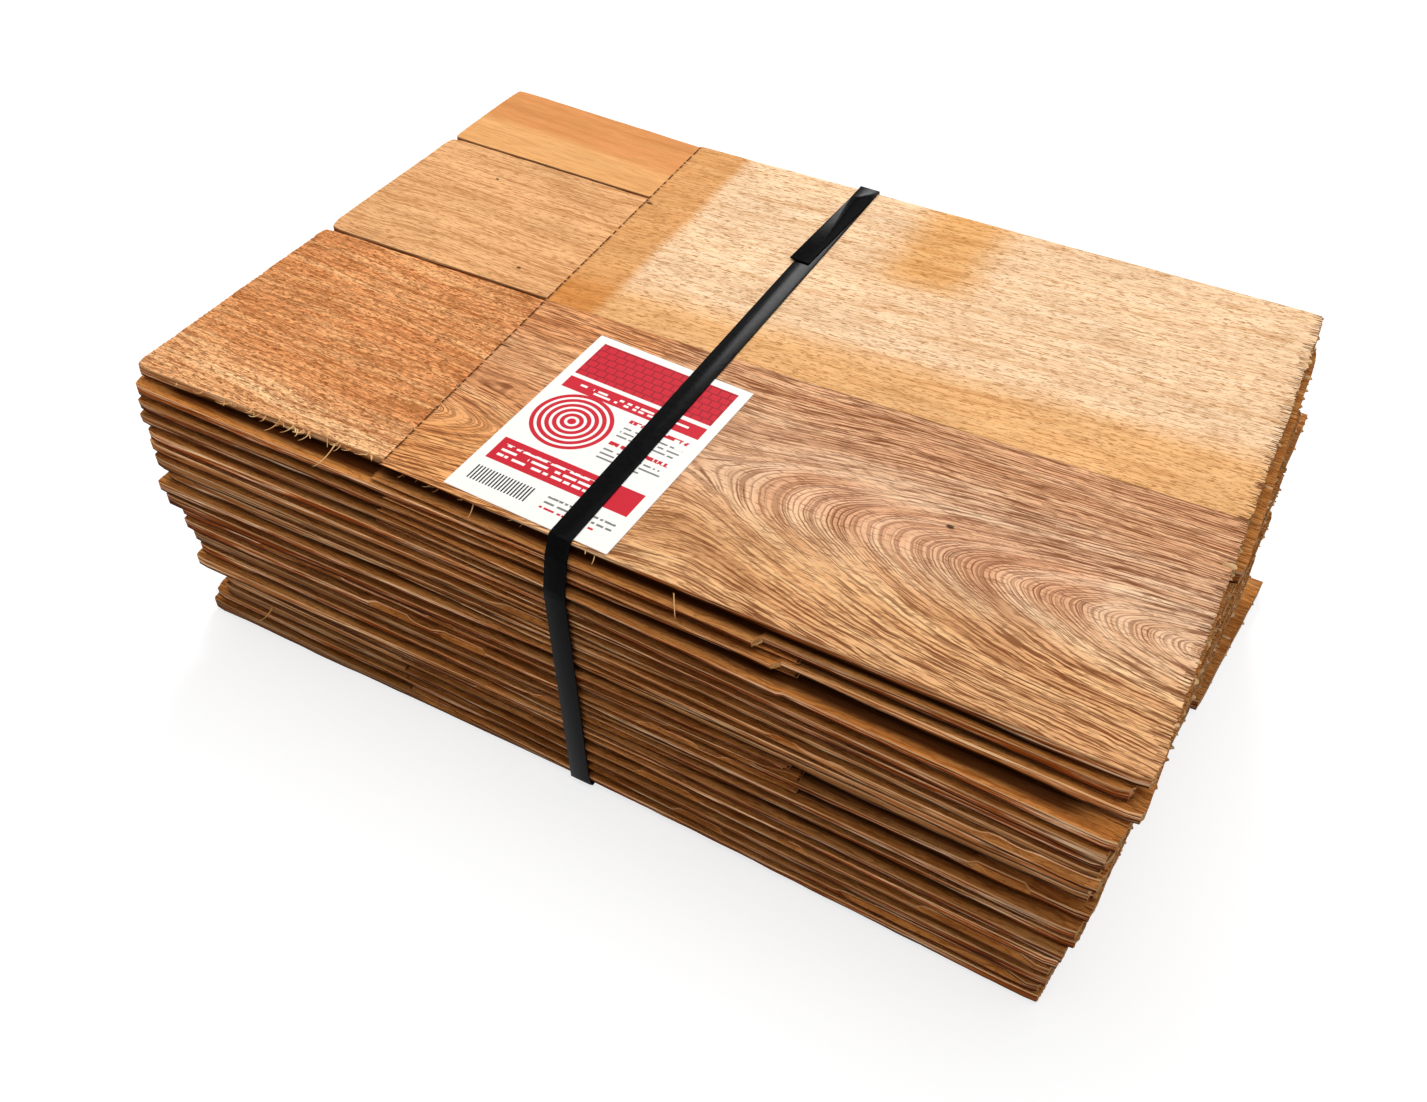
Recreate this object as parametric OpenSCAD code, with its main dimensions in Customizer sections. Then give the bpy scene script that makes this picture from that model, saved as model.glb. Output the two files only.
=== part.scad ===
// A strapped bundle of tapered cedar shingles.
// Two banks of courses lie with their butts outwards and their tips overlapping in the middle.
// Millimetres, +Z up. X runs along the grain and the front of the bundle faces -Y.

/* [Shingles] */

// Length of a shingle along the grain
shingle_length = 406; // [300:1:610]
// Thickness of a shingle at its butt
butt_thickness = 10; // [6:0.1:18]
// Thickness of a shingle at its tip
tip_thickness = 2.6; // [1:0.1:5]
// Gap between shingles that lie side by side
joint_gap = 1.6; // [0.4:0.1:6]

/* [Bundle] */

// Number of courses in each bank
course_count = 20; // [4:1:28]
// Width of a course across the grain
bundle_width = 360; // [220:1:600]
// Length over which the tips of the two banks lie on each other
tip_overlap = 249; // [120:1:290]
// Air left between the sawn faces of neighbouring courses
lay_gap = 0.15; // [0.05:0.05:0.5]

/* [Stagger] */

// How far the proudest course stands out at the front
front_bulge = 18; // [0:1:30]
// How far the bottom course lies behind the top course at the front
front_rake = 7; // [0:0.5:20]
// Share of the bulge that is left at the strap, where the courses are drawn together
strap_squeeze = 0.5; // [0.2:0.05:1]
// How far the bottom course lies inside the top course at the back
back_rake = 14; // [0:0.5:20]
// How far the back edges stray from a straight line
back_stray = 12; // [0:1:20]
// How far the butts stray from the line of their bank
butt_stray = 13; // [0:0.5:15]
// How far an outer edge leans over half the bundle
edge_lean = 2; // [0:0.5:6]
// How far a joint between shingles leans over half the bundle
joint_lean = 13; // [0:0.5:18]
// Number that picks the chance arrangement of joints and edges
arrangement = 12; // [1:1:99]

/* [Strap] */

// Width of the strap
strap_width = 12.7; // [9:0.1:19]
// Thickness of the strap
strap_thickness = 0.8; // [0.4:0.05:1.6]
// Place of the strap along the bundle, from the middle
strap_offset = -11; // [-60:1:60]
// Length of the free tail that lies on top
tail_length = 92; // [20:1:180]
// Angle at which the tail strays from the strap below it
tail_skew = 2.4; // [0:0.1:4]
// How far the outer lap runs down the back
lap_drop = 75; // [40:1:120]
// Length of the weld that joins the two laps
weld_length = 32; // [15:1:40]

/* [Label] */

// Width of the label along the grain
label_width = 98; // [60:1:140]
// Depth of the label across the grain
label_depth = 143; // [80:1:160]
// Thickness of the label card
label_thickness = 0.4; // [0.2:0.05:1]
// Place of the label's centre along the bundle, from the middle
label_offset = -32; // [-60:1:60]
// Distance of the label from the front edge
label_margin = 3; // [2:0.5:20]
// Angle at which the label is laid
label_turn = -2; // [-4:0.1:4]

/* [Fits] */

// Air between the strap and what it lies on
strap_clearance = 0.05; // [0.02:0.01:0.3]
// Air between the label and the shingle below it
label_clearance = 0.05; // [0.02:0.01:0.3]
// Air between the two laps of the strap
lap_clearance = 0.1; // [0.05:0.01:0.3]
// Air between the strap and the floor
floor_clearance = 0.3; // [0.1:0.05:1]
// Room on each side of the strap where it bites into the bottom course
bite_clearance = 0.6; // [0.2:0.1:2]

/* [Hidden] */

$fn = 24;
LEFT = 0;
RIGHT = 1;

// Stack
taper = (butt_thickness - tip_thickness) / shingle_length;
bundle_length = 2 * shingle_length - tip_overlap;
middle = bundle_length / 2;
course_rise = max(butt_thickness, 2 * butt_thickness - taper * bundle_length);
course_pitch = course_rise + lay_gap;
top_z = course_count * course_pitch - lay_gap;
strap_x = middle + strap_offset;
label_x = middle + label_offset;
bite_depth = strap_thickness + strap_clearance + floor_clearance;
label_z = top_z + label_clearance;
label_top = label_z + label_thickness;

// Share of the bulge by which each front edge stands out at its butt, from the top course down
left_front = [0.08, 0.36, 0.48, 0.56, 0.64, 0.6, 0.57, 0.42, 0.66, 0.74,
              0.43, 0.44, 0.41, 0.43, 0.46, 0.36, 0.05, 0.02, 0.09, 0.17];
right_front = [0, 0.52, 0.54, 1, 0.97, 0.82, 0.73, 0.64, 0.6, 0.29,
               0.2, 0.22, 0.41, 0.49, 0.57, 0.53, 0.6, 0.57, 0.53, 0.5];

// Share of the stray by which each line of butts stands out, from the top course down
left_butts_front = [0.35, 0.4, 0.55, 0.6, 0.5, 0.4, 0.3, 0.25, 0.7, 0.45,
                    0, 0, 0.05, 0.1, -0.2, 0.1, -0.45, -0.6, 0.15, 1];
left_butts_back = [-0.4, 0.1, 0.3, -0.1, 0.2, -0.3, 0.1, 0.3, 0, -0.2,
                   0.2, 0.4, -0.1, 0.1, -0.3, 0.2, 0, 0.3, -0.2, 0.1];
right_butts_front = [0.3, 0.58, 0.4, -0.1, -0.15, -0.2, -0.3, -0.25, -0.3, -0.35,
                     -0.35, -0.4, -0.45, -0.4, -0.45, -0.5, -0.6, -0.6, -0.7, -0.75];
right_butts_back = [-0.5, -0.66, -0.3, -0.3, -0.2, -0.1, 0, 0.2, 0.1, 0.1,
                    0.15, 0.2, 0.3, 0.3, 0.2, 0.2, 0.2, 0.3, 0.2, 1.2];

// Chance values from -1 to 1, eight for each course
chance = rands(-1, 1, 16 * course_count, arrangement);

function luck(side, k, i) = chance[(side * course_count + k) * 8 + i];
function from_top(k) = course_count - 1 - k;
function is_top(k) = from_top(k) == 0;
function is_second(k) = from_top(k) == 1;
function picked(list, k) = list[from_top(k) % len(list)];
function along(x) = (x - middle) / middle;
function blend(a, b, t) = a + (b - a) * t;

// Outer edges of a course, as lines across the bundle at x
function towards_butt(side, x) = side == LEFT ? -along(x) : along(x);
function fan(side, x) = blend(strap_squeeze, 1, towards_butt(side, x));
function front_share(side, k) = picked(side == LEFT ? left_front : right_front, k);
function front_lean(side, k) = side == LEFT && is_top(k) ? 0.9 * joint_lean : edge_lean * luck(side, k, 0);
function depth_share(k) = from_top(k) / (course_count - 1);
function front_at(side, k, x) = front_rake * depth_share(k)
    - front_bulge * front_share(side, k) * fan(side, x)
    + front_lean(side, k) * (along(x) + (is_top(k) ? 1 : 0));
function back_share(side, k) = is_top(k) ? 0.2 * side : 0.7 * luck(side, k, 2);
function back_lean(side, k) = is_top(k) ? 0.9 * joint_lean * side : edge_lean * luck(side, k, 1);
function back_at(side, k, x) = bundle_width - back_rake * depth_share(k)
    + back_stray * back_share(side, k) + back_lean(side, k) * along(x);

// Joints between the shingles of a course, as lines along the bundle
function one_joint(side, k) = [0.5 + 0.14 * luck(side, k, 4)];
function two_joints(side, k) = [0.31 + 0.08 * luck(side, k, 4), 0.68 + 0.08 * luck(side, k, 5)];
function chance_joints(side, k) = luck(side, k, 3) < 0 ? one_joint(side, k) : two_joints(side, k);
function top_joints(side) = side == LEFT ? [0.46, 0.81] : [0.46];
function lower_joints(side, k) = side == RIGHT && is_second(k) ? [0.44] : chance_joints(side, k);
function joints(side, k) = is_top(k) ? top_joints(side) : lower_joints(side, k);
function piece_count(side, k) = len(joints(side, k)) + 1;
function top_lean(j) = j == 1 ? 1 : 0.7;
function lean_share(side, k, j) = is_top(k) ? top_lean(j) : 0.45 * luck(side, k, 6) * (j == 1 ? 1 : -0.6);
function joint_at(side, k, j, x) = joint_lean * lean_share(side, k, j) * along(x)
    + blend(front_at(side, k, middle), back_at(side, k, middle), joints(side, k)[j - 1]);
function low_at(side, k, j, x) = j == 0 ? front_at(side, k, x) : joint_at(side, k, j, x) + joint_gap / 2;
function high_at(side, k, j, x) = j == piece_count(side, k) - 1 ? back_at(side, k, x)
    : joint_at(side, k, j + 1, x) - joint_gap / 2;

// Line of the butts of a course, which stands out by a share at the front and another at the back
function butt_share(side, k, y) = side == LEFT
    ? blend(picked(left_butts_front, k), picked(left_butts_back, k), y / bundle_width)
    : blend(picked(right_butts_front, k), picked(right_butts_back, k), y / bundle_width);
function lower_stray(side, k, j) = side == RIGHT && is_second(k) ? (j == 0 ? -0.75 : 0.35)
    : 0.3 * luck(side, k, 5 + j);
function piece_stray(side, k, j) = is_top(k) ? 0 : lower_stray(side, k, j);
function stand_out(side, k, j, y) = butt_stray * (butt_share(side, k, y) + piece_stray(side, k, j));
function butt_at(side, k, j, y) = side == LEFT ? -stand_out(side, k, j, y)
    : bundle_length + stand_out(side, k, j, y);
function tip_at(side, k, j, y) = butt_at(side, k, j, y) + (side == LEFT ? shingle_length : -shingle_length);

// Everything that the strap is drawn tight around, as [front, back, bottom, top]
function face_z(side, k) = side == LEFT ? k * course_pitch : k * course_pitch + course_rise;
function strap_ends() = [strap_x - strap_width / 2, strap_x + strap_width / 2];
function thickness_at(side, x) = butt_thickness - taper * (side == LEFT ? x : bundle_length - x);
function strap_thick(side) = max([for (x = strap_ends()) thickness_at(side, x)]);
function wrapped_course(side, k) = [
    min([for (x = strap_ends()) front_at(side, k, x)]),
    max([for (x = strap_ends()) back_at(side, k, x)]),
    max(bite_depth, side == LEFT ? face_z(side, k) : face_z(side, k) - strap_thick(side)),
    side == LEFT ? face_z(side, k) + strap_thick(side) : face_z(side, k)];
label_reach = label_width / 2 * abs(sin(label_turn));
label_front = front_at(RIGHT, course_count - 1, label_x) + label_margin;
wrapped_label = [label_front - label_reach, label_front + label_depth + label_reach, label_z, label_top];
sides = [LEFT, RIGHT];
levels = [0 : course_count - 1];
wrapped = concat([for (side = sides) for (k = levels) wrapped_course(side, k)], [wrapped_label]);
wrap_back = max([for (w = wrapped) w[1]]);
tail_root = bundle_width - 12;

// Outline of a shingle from above, butt first: its ends are square to nothing, as they lie
function start_x(side) = side == LEFT ? 0 : bundle_length;
function end_x(side) = side == LEFT ? shingle_length : bundle_length - shingle_length;
function butt_low(side, k, j) = let (x = butt_at(side, k, j, low_at(side, k, j, start_x(side))))
    [x, low_at(side, k, j, x)];
function butt_high(side, k, j) = let (x = butt_at(side, k, j, high_at(side, k, j, start_x(side))))
    [x, high_at(side, k, j, x)];
function tip_low(side, k, j) = let (x = tip_at(side, k, j, low_at(side, k, j, end_x(side))))
    [x, low_at(side, k, j, x)];
function tip_high(side, k, j) = let (x = tip_at(side, k, j, high_at(side, k, j, end_x(side))))
    [x, high_at(side, k, j, x)];
function top_view(side, k, j) = [butt_low(side, k, j), tip_low(side, k, j),
                                 tip_high(side, k, j), butt_high(side, k, j)];

// Outline of a course from the side: it tapers from the line of the butts and is level outside it
outside = 4 * butt_stray + 1;
function beyond(side) = side == LEFT ? -outside : bundle_length + outside;
function inside(side) = side == LEFT ? shingle_length + outside : bundle_length - shingle_length - outside;
function body(side) = side == LEFT ? 1 : -1;
function side_view(side, k) = [
    [beyond(side), face_z(side, k)],
    [inside(side), face_z(side, k)],
    [inside(side), face_z(side, k) + body(side) * thickness_at(side, inside(side))],
    [start_x(side), face_z(side, k) + body(side) * butt_thickness],
    [beyond(side), face_z(side, k) + body(side) * butt_thickness]];

// Box of the whole bundle, so that its bottom centre is the origin
one_lap = strap_clearance + strap_thickness;
two_laps = one_lap + lap_clearance + strap_thickness;
corners = [for (side = sides) for (k = levels) for (j = [0 : piece_count(side, k) - 1])
           for (p = top_view(side, k, j)) p];
left_end = min([for (p = corners) p[0]]);
right_end = max([for (p = corners) p[0]]);
front_end = min(min([for (p = corners) p[1]]), min([for (w = wrapped) w[0]]) - one_lap);
back_end = max(max([for (p = corners) p[1]]), wrap_back + one_lap);
bundle_centre = [(left_end + right_end) / 2, (front_end + back_end) / 2, 0];

module placed() {
    translate(-bundle_centre)
    children();
}

module shingle(side, k, j) {
    intersection() {
        translate([0, 2 * bundle_width, 0])
        rotate([90, 0, 0])
        linear_extrude(height = 3 * bundle_width)
        polygon(side_view(side, k));
        linear_extrude(height = top_z + 1)
        polygon(top_view(side, k, j));
    }
}

module course(side, k) {
    for (j = [0 : piece_count(side, k) - 1])
        shingle(side, k, j);
}

// The groove that the tight strap presses into the underside of the bottom course
module strap_bite() {
    translate([strap_x - strap_width / 2 - bite_clearance, -bundle_width, -1])
    cube([strap_width + 2 * bite_clearance, 3 * bundle_width, bite_depth + 1]);
}

// Section across the grain of what the strap goes round, grown by a margin
module wrap_section(margin) {
    offset(r = margin)
    hull()
    for (w = wrapped)
        translate([w[0], w[2]])
        square([w[1] - w[0], w[3] - w[2]]);
}

module band(inner, outer) {
    difference() {
        wrap_section(outer);
        wrap_section(inner);
    }
}

// Part of the section between two distances from the front and two heights
module window(y_from, y_to, z_from, z_to) {
    translate([y_from, z_from])
    square([y_to - y_from, z_to - z_from]);
}

module across_strap() {
    rotate([90, 0, 90])
    linear_extrude(height = strap_width, center = true)
    children();
}

module outer_lap(y_from, y_to, z_from) {
    intersection() {
        band(one_lap + lap_clearance, two_laps);
        window(y_from, y_to, z_from, top_z + 20);
    }
}

module lap_weld() {
    intersection() {
        band(one_lap - 0.01, one_lap + lap_clearance + 0.01);
        window(wrap_back - 60, wrap_back + 20, top_z - lap_drop, top_z - lap_drop + weld_length);
    }
}

module left_course(k) {
    color("BurlyWood")
    placed()
    difference() {
        course(LEFT, k);
        if (k == 0)
            strap_bite();
    }
}

module right_course(k) {
    color("Peru")
    placed()
    course(RIGHT, k);
}

module strap() {
    color("DimGray")
    placed()
    translate([strap_x, 0, 0]) {
        across_strap() {
            band(strap_clearance, one_lap);
            outer_lap(tail_root - 1, wrap_back + 20, top_z - lap_drop);
            lap_weld();
        }
        translate([0, tail_root, 0])
        rotate([0, 0, -tail_skew])
        translate([0, -tail_root, 0])
        across_strap()
        outer_lap(tail_root - tail_length + 12, tail_root, top_z);
    }
}

module label() {
    color("White")
    placed()
    translate([label_x, label_front + label_depth / 2, label_z])
    rotate([0, 0, label_turn])
    translate([-label_width / 2, -label_depth / 2, 0])
    cube([label_width, label_depth, label_thickness]);
}

function two_digits(n) = str(n < 10 ? "0" : "", n);
function left_name(k) = str("left_course_", two_digits(k + 1));
function right_name(k) = str("right_course_", two_digits(k + 1));

for (k = levels) left_course(k);
for (k = levels) right_course(k);
strap();
label();
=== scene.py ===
import math
import random
from types import SimpleNamespace

import bmesh
import bpy
from mathutils import Euler, Matrix, Vector


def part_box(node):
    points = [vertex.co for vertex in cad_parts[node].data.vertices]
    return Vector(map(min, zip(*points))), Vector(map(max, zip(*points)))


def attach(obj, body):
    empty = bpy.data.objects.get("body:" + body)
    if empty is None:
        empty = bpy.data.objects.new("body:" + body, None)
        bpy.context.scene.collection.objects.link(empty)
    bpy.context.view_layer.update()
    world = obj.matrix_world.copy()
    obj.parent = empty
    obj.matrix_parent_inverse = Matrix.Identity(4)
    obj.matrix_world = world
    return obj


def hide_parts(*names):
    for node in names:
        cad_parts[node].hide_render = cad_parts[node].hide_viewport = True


# A strapped bundle of cedar shingles, in metres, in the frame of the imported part.
# X runs along the grain, the front of the bundle faces -Y, and it rests on Z = 0.
MM = 0.001
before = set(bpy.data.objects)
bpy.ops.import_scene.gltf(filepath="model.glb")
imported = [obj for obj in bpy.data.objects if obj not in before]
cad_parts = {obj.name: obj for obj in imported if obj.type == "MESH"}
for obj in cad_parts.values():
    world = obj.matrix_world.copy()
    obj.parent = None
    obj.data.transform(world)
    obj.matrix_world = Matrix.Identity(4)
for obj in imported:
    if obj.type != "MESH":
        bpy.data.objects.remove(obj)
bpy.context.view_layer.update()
bpy.ops.object.select_all(action="DESELECT")

# Settings that many nodes share: to mix colours, and to start and end softly
COLOURS = {"out": 2, "data_type": "RGBA"}
SMOOTH = {"interpolation_type": "SMOOTHSTEP"}


def linear(hex_colour):
    """An sRGB hex colour as the linear colour that a shader takes."""
    parts = [int(hex_colour[i:i + 2], 16) / 255 for i in (1, 3, 5)]
    return tuple(c / 12.92 if c <= 0.04045 else ((c + 0.055) / 1.055) ** 2.4 for c in parts) + (1.0,)


def put(tree, kind, feeds=None, out=0, **settings):
    """Adds a node with its settings, feeds its sockets with values or other outputs, and gives one output back."""
    made = tree.nodes.new(kind)
    for name, value in settings.items():
        setattr(made, name, value)
    for name, value in (feeds or {}).items():
        if isinstance(value, bpy.types.NodeSocket):
            tree.links.new(value, made.inputs[name])
        else:
            made.inputs[name].default_value = value
    return made.outputs[out]


def set_stops(ramp, first, last, *between):
    """Sets the colours of a ramp, each at its place from 0 to 1."""
    stops = ramp.node.color_ramp.elements
    for stop, (position, colour) in zip((stops[0], stops[1]), (first, last)):
        stop.position, stop.color = position, linear(colour)
    for position, colour in between:
        stops.new(position).color = linear(colour)


def new_material(name):
    """Starts a material: itself, its nodes, its shader and the place on the piece in millimetres."""
    material = bpy.data.materials.new(name)
    material.use_nodes = True
    tree = material.node_tree
    place = put(tree, "ShaderNodeTexCoord", out="Object")
    place = put(tree, "ShaderNodeVectorMath", {0: place, "Scale": 1 / MM}, operation="SCALE")
    return material, tree, tree.nodes["Principled BSDF"], place


def only(piece):
    """Makes one piece the selected and active one."""
    bpy.ops.object.select_all(action="DESELECT")
    piece.select_set(True)
    bpy.context.view_layer.objects.active = piece


def own_copy(source, name):
    """A copy of a piece with its own mesh."""
    piece = source.copy()
    piece.data = source.data.copy()
    piece.name = piece.data.name = name
    piece.parent = None
    piece.hide_render = piece.hide_viewport = False
    for key in list(piece.keys()):
        del piece[key]
    bpy.context.scene.collection.objects.link(piece)
    only(piece)
    return piece


SAME_POINT, STILL_FLAT = 0.001 * MM, math.radians(0.5)


def whole_copy(node, name):
    """A copy of a CAD node whose loose triangles are merged into whole faces."""
    piece = own_copy(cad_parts[node], name)
    bpy.ops.object.mode_set(mode="EDIT")
    bpy.ops.mesh.select_all(action="SELECT")
    bpy.ops.mesh.remove_doubles(threshold=SAME_POINT)
    bpy.ops.mesh.dissolve_limited(angle_limit=STILL_FLAT)
    bpy.ops.object.mode_set(mode="OBJECT")
    return piece


def dress(piece, material):
    """Gives a piece one material."""
    piece.data.materials.clear()
    piece.data.materials.append(material)


def joined(pieces, name):
    """Joins pieces into one under a name."""
    bpy.ops.object.select_all(action="DESELECT")
    for piece in pieces:
        piece.select_set(True)
    bpy.context.view_layer.objects.active = pieces[0]
    if len(pieces) > 1:
        bpy.ops.object.join()
    whole = bpy.context.object
    whole.name = whole.data.name = name
    return whole


def select_edges(test):
    """In edit mode, selects the edges whose two ends pass the test."""
    bpy.ops.mesh.select_mode(type="EDGE")
    bpy.ops.mesh.select_all(action="DESELECT")
    mesh = bmesh.from_edit_mesh(bpy.context.object.data)
    for edge in mesh.edges:
        if test(edge.verts[0].co, edge.verts[1].co):
            edge.select_set(True)
    bmesh.update_edit_mesh(bpy.context.object.data)


# Cedar

# How a board looks unless its own palette says otherwise, with sizes in millimetres
PLAIN_BOARD = {
    "lines": 0.5,         # how dark the fine lines along the grain are
    "apart": 1.25,        # from one fine line to the next
    "rings": 0.2,         # how dark the late wood of a year is
    "spacing": 2.6,       # from one year to the next
    "dashes": 0.6,        # how dark the open pores are
    "dash": (4.5, 0.8),   # length and width of a pore
    "nap": 0.0,           # how much the raised fibres lighten and darken the face
    "lean": 0.0,          # slope of the grain to the length of the board
    "hearts": (),         # middles of growth rings: x, y, stretch along, stretch behind, first radius, reach
    "swing": 4.0,         # how far the grain swings
    "patches": (),        # shaded patches: low x, high x, low y, high y, softness, shade
    "specks": (),         # pin knots and short checks: x, y, half length, half width
    "checks": 0.0,        # how dark the checks at the butt are
    "tone_spread": 0.0,   # how much boards differ in lightness
    "joints": 0.0}        # how dark the painted shade is on the face between the boards above and below
BOARD_SHIFT = (43.0, 17.0, 9.0)   # moves each board to another place in the chance patterns
HEART_SOFT, HEARTS_MEET = 30.0, 8.0   # how softly rings end along the grain, and run into the next heart's


def grain_across(tree, at, board):
    """The distance across the grain, straight or from hearts whose growth rings show as long arches. Also how fast it
    grows there, which keeps the lines of even thickness, and how far the grain has swung."""
    across, steep = at.leaning, 1.0
    for heart_x, heart_y, stretch, flat, start, longest in board.hearts:
        dx = put(tree, "ShaderNodeMath", {0: at.x, 1: heart_x}, operation="SUBTRACT")
        dx = put(tree, "ShaderNodeMath", {0: dx}, operation="ABSOLUTE")
        dx = put(tree, "ShaderNodeMath", {0: dx, 1: longest, 2: HEART_SOFT}, operation="SMOOTH_MIN")
        dx = put(tree, "ShaderNodeMath", {0: dx, 1: stretch}, operation="DIVIDE")
        dy = put(tree, "ShaderNodeMath", {0: at.leaning, 1: heart_y}, operation="SUBTRACT")
        behind = put(tree, "ShaderNodeMath", {0: dy, 1: 0.0}, operation="MAXIMUM")
        dy = put(tree, "ShaderNodeMath", {0: behind, 1: flat - 1, 2: dy}, operation="MULTIPLY_ADD")
        ring = put(tree, "ShaderNodeCombineXYZ", {0: dx, 1: dy})
        radius = put(tree, "ShaderNodeVectorMath", {0: ring}, operation="LENGTH", out="Value")
        fast = put(tree, "ShaderNodeVectorMath", {0: ring, 1: (1 / stretch, 1.0, 0.0)}, operation="MULTIPLY")
        fast = put(tree, "ShaderNodeVectorMath", {0: fast}, operation="LENGTH", out="Value")
        fast = put(tree, "ShaderNodeMath", {0: fast, 1: radius}, operation="DIVIDE")
        radius = put(tree, "ShaderNodeMath", {0: radius, 1: start}, operation="ADD")
        if across is at.leaning:
            across, steep = radius, fast
        else:
            nearer = put(tree, "ShaderNodeMath", {0: radius, 1: across}, operation="LESS_THAN")
            across = put(tree, "ShaderNodeMath", {0: across, 1: radius, 2: HEARTS_MEET}, operation="SMOOTH_MIN")
            steep = put(tree, "ShaderNodeMix", {0: nearer, 2: steep, 3: fast})

    # The grain swings over a hand's length and wriggles over a finger's width
    ragged = None
    for long, wide, reach in ((130, 42, board.swing), (20, 9, 0.2 * board.swing), (7, 4, 0.08 * board.swing)):
        sway = put(tree, "ShaderNodeVectorMath", {0: at.moved, 1: (1 / long, 1 / wide, 0.0)}, operation="MULTIPLY")
        sway = put(tree, "ShaderNodeTexNoise", {"Vector": sway, "Scale": 1.0, "Detail": 1.0})
        sway = put(tree, "ShaderNodeMapRange", {0: sway, 1: 0.25, 2: 0.75, 3: -reach, 4: reach})
        sway = put(tree, "ShaderNodeMath", {0: sway, 1: steep}, operation="MULTIPLY")
        across = put(tree, "ShaderNodeMath", {0: across, 1: sway}, operation="ADD")
        ragged = sway if ragged is None else put(tree, "ShaderNodeMath", {0: ragged, 1: sway}, operation="ADD")
    return across, steep, ragged


def board_places(tree, place, board):
    """What the cedar needs to know of a point: where it lies on its board and its grain, and the chance patterns."""
    at = SimpleNamespace(place=place, chance={})
    for name in ("shingle", "tone", "tip", "rise", "depth", "butt"):
        setattr(at, name, put(tree, "ShaderNodeAttribute", attribute_name=name, out="Fac"))
    at.luck = put(tree, "ShaderNodeTexWhiteNoise", {"W": at.shingle}, noise_dimensions="1D")
    shift = put(tree, "ShaderNodeVectorMath", {0: BOARD_SHIFT, "Scale": at.shingle}, operation="SCALE")
    at.moved = put(tree, "ShaderNodeVectorMath", {0: place, 1: shift}, operation="ADD")
    at.x, at.y, _ = put(tree, "ShaderNodeSeparateXYZ", {0: place}).node.outputs
    along = put(tree, "ShaderNodeSeparateXYZ", {0: at.moved})
    at.leaning = put(tree, "ShaderNodeMath", {0: at.x, 1: -board.lean, 2: at.y}, operation="MULTIPLY_ADD")
    at.across, at.steep, at.ragged = grain_across(tree, at, board)
    grown = put(tree, "ShaderNodeCombineXYZ", {0: along, 1: at.across, 2: at.shingle})
    straight = put(tree, "ShaderNodeCombineXYZ", {0: along, 1: at.leaning, 2: at.shingle})
    slope = put(tree, "ShaderNodeMapRange", {0: at.luck, 1: 0.0, 2: 1.0, 3: -0.5, 4: 1.2})
    rolled = put(tree, "ShaderNodeVectorRotate", {"Vector": at.moved, "Angle": slope}, rotation_type="X_AXIS")

    # Chance patterns, each named for what it draws, by its size along, across and up. 0 is for no change that way,
    # and the third size of a pattern in the grain sets boards apart.
    for name, vector, size, settings in (
            ("streak", grown, (110, 6, 1 / 3), {"Detail": 5.0, "Roughness": 0.66}),
            ("cloud", at.moved, (90, 35, 0), {"Detail": 2.0}),
            ("fuzz", at.moved, (4.0, 1.8, 0), {"Detail": 3.0, "Roughness": 0.7, "Distortion": 1.0}),
            ("broken ring", grown, (18, 1.2 * board.spacing, 1 / 5), {"Detail": 2.0, "Roughness": 0.6}),
            ("line", grown, (26, board.apart, 1 / 2), {"Detail": 1.0}),
            ("fine line", grown, (26, 0.45, 1 / 2), {"Detail": 1.0}),
            ("pore", straight, (*board.dash, 1 / 7), {"Detail": 1.0, "Distortion": board.nap}),
            ("check", at.moved, (0, 1.1, 0), {"Detail": 0.0}),
            ("check length", at.moved, (0, 2.6, 0), {"Detail": 0.0}),
            # The dotted pattern of the painted shadow along the tips
            ("tip_shadow_dots", at.moved, (0, 3.2, 0), {"Detail": 1.0}),
            ("layer", at.moved, (60, 14, 1.5), {"Detail": 5.0, "Roughness": 0.66}),
            ("split", at.moved, (34, 9, 0.9), {"Detail": 1.0}),
            ("end ring", rolled, (30, 26, 1.4), {"Detail": 3.0, "Roughness": 0.6}),
            ("crumb", at.moved, (4, 1.7, 1.3), {"Detail": 3.0, "Roughness": 0.6})):
        scale = tuple(1 / s if s else 0.0 for s in size)
        vector = put(tree, "ShaderNodeVectorMath", {0: vector, 1: scale}, operation="MULTIPLY")
        at.chance[name] = put(tree, "ShaderNodeTexNoise", {"Vector": vector, "Scale": 1.0, **settings})
    return at


def face_shades(tree, at, board):
    """The colour of the broad faces: soft streaks, about 6 mm across, under slow clouds, fuzz and shaded patches."""
    face = put(tree, "ShaderNodeValToRGB", {0: at.chance["streak"]})
    set_stops(face, (0.1, board.dark), (0.72, board.pale), (0.45, board.mid))
    lights = [("cloud", 0.9, 1.07)]
    if board.nap:
        # A raised nap, whose fibres lie every way and catch the light
        lights.append(("fuzz", 1 - board.nap, 1 + board.nap))
    for name, darker, lighter in lights:
        light = put(tree, "ShaderNodeMapRange", {0: at.chance[name], 1: 0.3, 2: 0.7, 3: darker, 4: lighter})
        face = put(tree, "ShaderNodeHueSaturation", {"Color": face, "Value": light})
    for low_x, high_x, low_y, high_y, soft, shade in board.patches:
        # A patch that lay open to the light, or runs with the grain, has another shade
        inside = None
        for where, edge, way in (
                (at.x, low_x, 1), (at.x, high_x, -1), (at.leaning, low_y, 1), (at.leaning, high_y, -1)):
            torn = put(tree, "ShaderNodeMath", {0: at.ragged, 1: 0.3, 2: where}, operation="MULTIPLY_ADD")
            side = put(tree, "ShaderNodeMapRange", {0: torn, 1: edge - way * soft, 2: edge + way * soft}, **SMOOTH)
            inside = side if inside is None else put(tree, "ShaderNodeMath", {0: inside, 1: side}, operation="MULTIPLY")
        face = put(tree, "ShaderNodeMix", {0: inside, 6: face, 7: linear(shade)}, **COLOURS, blend_type="MULTIPLY")
    return face


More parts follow.
